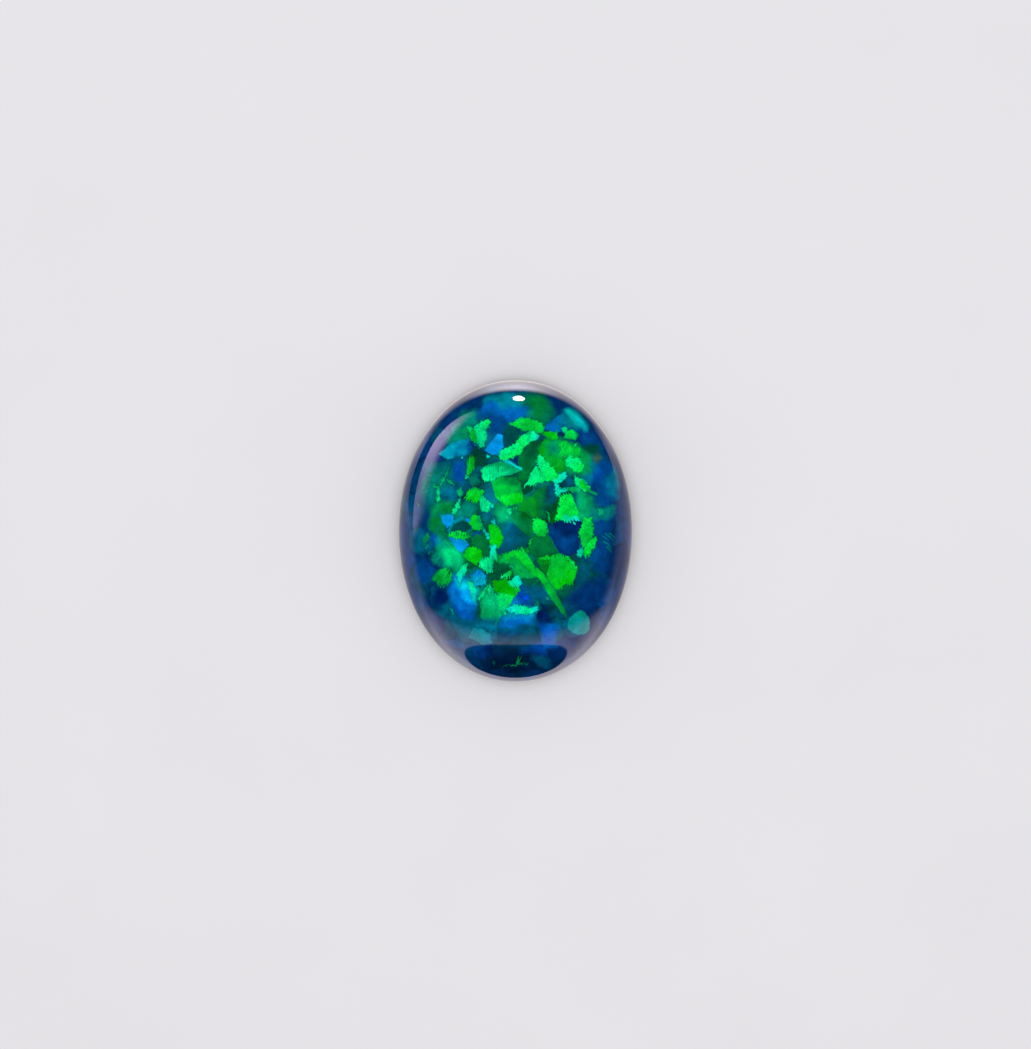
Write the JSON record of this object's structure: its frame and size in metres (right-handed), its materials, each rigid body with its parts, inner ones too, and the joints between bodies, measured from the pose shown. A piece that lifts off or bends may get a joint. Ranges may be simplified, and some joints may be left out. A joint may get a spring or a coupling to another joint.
{
  "type": "opal cabochon",
  "caption": "Oval black opal cabochon: a high polished dome with green and blue play-of-colour on a flat ground back, a loose stone for display or for setting in a bezel.",
  "frame": {"origin": "middle of the flat back face that the stone lies on, at the girdle oval's centre", "axes": "+Z out of the back face towards the dome's top; +Y along the oval's length, to the end that the picture shows on top; +X along its width"},
  "size_m": [0.0154, 0.02, 0.0064],
  "materials": {
    "black_opal": "glassy polish over a dark body with leaf-green, emerald, teal and azure play-of-colour; opaque"
  },
  "bodies": {
    "root": {"opal": "black_opal"}
  },
  "joints": []
}
